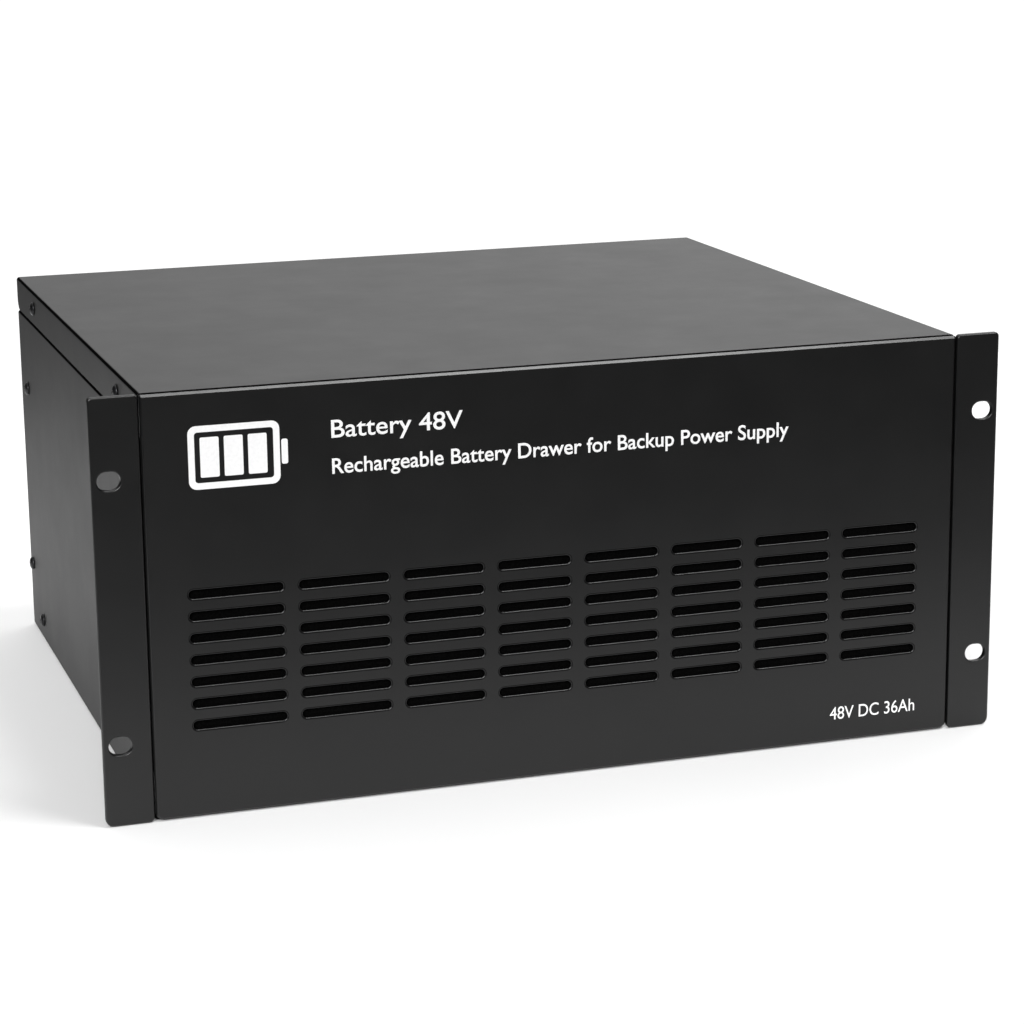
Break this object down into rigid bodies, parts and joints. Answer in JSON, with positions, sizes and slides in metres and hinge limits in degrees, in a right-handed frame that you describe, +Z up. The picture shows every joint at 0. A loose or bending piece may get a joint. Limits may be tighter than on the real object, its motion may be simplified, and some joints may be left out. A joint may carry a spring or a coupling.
{
  "type": "rackmount battery pack",
  "caption": "Rackmount battery pack: black steel enclosure with rack ears, snap-off vented front panel, slide-out drawer of battery blocks and rear DC sockets.",
  "frame": {"origin": "bottom centre of the overall box, on the surface the pack stands on", "axes": "+X along the front panel towards its right-hand end as seen from the front, +Y from the front to the rear connectors, +Z up"},
  "size_m": [0.4826, 0.39, 0.216],
  "materials": {
    "powder_coat": "satin black powder coat",
    "zinc_steel": "bright zinc plate",
    "black_screw": "black oxide",
    "nylon": "natural nylon",
    "battery_case": "moulded ABS",
    "black_lead": "flexible insulation",
    "red_lead": "flexible insulation",
    "grey_plastic": "moulded",
    "black_plastic": "moulded",
    "foam": "open-cell filter foam",
    "fuse_body": "moulded",
    "nickel": "nickel plate",
    "brass": "turned"
  },
  "bodies": {
    "chassis": {"chassis_base": "powder_coat", "top_cover": "powder_coat", "rear_panel": "powder_coat", "rack_ear_left": "powder_coat", "rack_ear_right": "powder_coat", "guide_rail_left": "zinc_steel", "guide_rail_right": "zinc_steel", "glide_strip_left": "nylon", "glide_strip_right": "nylon", "cover_screw_left_front": "black_screw", "cover_screw_left_rear": "black_screw", "cover_screw_right_front": "black_screw", "cover_screw_right_rear": "black_screw", "side_screw_left_upper": "black_screw", "side_screw_left_middle": "black_screw", "side_screw_left_lower": "black_screw", "side_screw_right_upper": "black_screw", "side_screw_right_middle": "black_screw", "side_screw_right_lower": "black_screw", "output_socket": "grey_plastic", "expansion_socket": "grey_plastic", "breaker_housing": "black_plastic", "ground_stud": "brass", "drawer_receptacle": "black_plastic", "breaker_feed_lead": "red_lead", "socket_negative_lead": "black_lead", "socket_positive_lead": "red_lead"},
    "drawer": {"drawer_tray": "zinc_steel", "drawer_front": "powder_coat", "pull_grip": "black_plastic", "battery_1": "battery_case", "battery_2": "battery_case", "battery_3": "battery_case", "battery_4": "battery_case", "battery_5": "battery_case", "battery_6": "battery_case", "battery_7": "battery_case", "battery_8": "battery_case", "jumper_lead_1": "black_lead", "jumper_lead_2": "black_lead", "jumper_lead_3": "black_lead", "jumper_lead_4": "black_lead", "jumper_lead_5": "black_lead", "jumper_lead_6": "black_lead", "positive_lead_left": "red_lead", "positive_lead_right": "red_lead", "negative_lead_left": "black_lead", "negative_lead_right": "black_lead", "hold_down_strap": "zinc_steel", "fuse_holder": "fuse_body", "drawer_plug": "black_plastic", "panel_clip_left_low": "nylon", "panel_clip_left_high": "nylon", "panel_clip_right_low": "nylon", "panel_clip_right_high": "nylon"},
    "front_panel": {"front_panel": "powder_coat", "filter_pad": "foam"},
    "thumbscrew_left": {"thumbscrew_left": "nickel"},
    "thumbscrew_right": {"thumbscrew_right": "nickel"},
    "breaker_toggle": {"breaker_toggle": "black_plastic"}
  },
  "joints": [
    {"name": "drawer_slide", "type": "slide", "parent": "chassis", "child": "drawer", "axis": [0, -1, 0], "range_m": [0, 0.28]},
    {"name": "front_panel_pull", "type": "slide", "parent": "drawer", "child": "front_panel", "axis": [0, -1, 0], "range_m": [0, 0.06]},
    {"name": "thumbscrew_left_turn", "type": "hinge", "parent": "drawer", "child": "thumbscrew_left", "pos_m": [-0.2, -0.175, 0.108], "axis": [0, 1, 0], "continuous": true},
    {"name": "thumbscrew_right_turn", "type": "hinge", "parent": "drawer", "child": "thumbscrew_right", "pos_m": [0.2, -0.175, 0.108], "axis": [0, 1, 0], "continuous": true},
    {"name": "breaker_toggle_throw", "type": "hinge", "parent": "chassis", "child": "breaker_toggle", "pos_m": [0.112, 0.181, 0.18], "axis": [-1, 0, 0], "range_deg": [0, 44]}
  ]
}
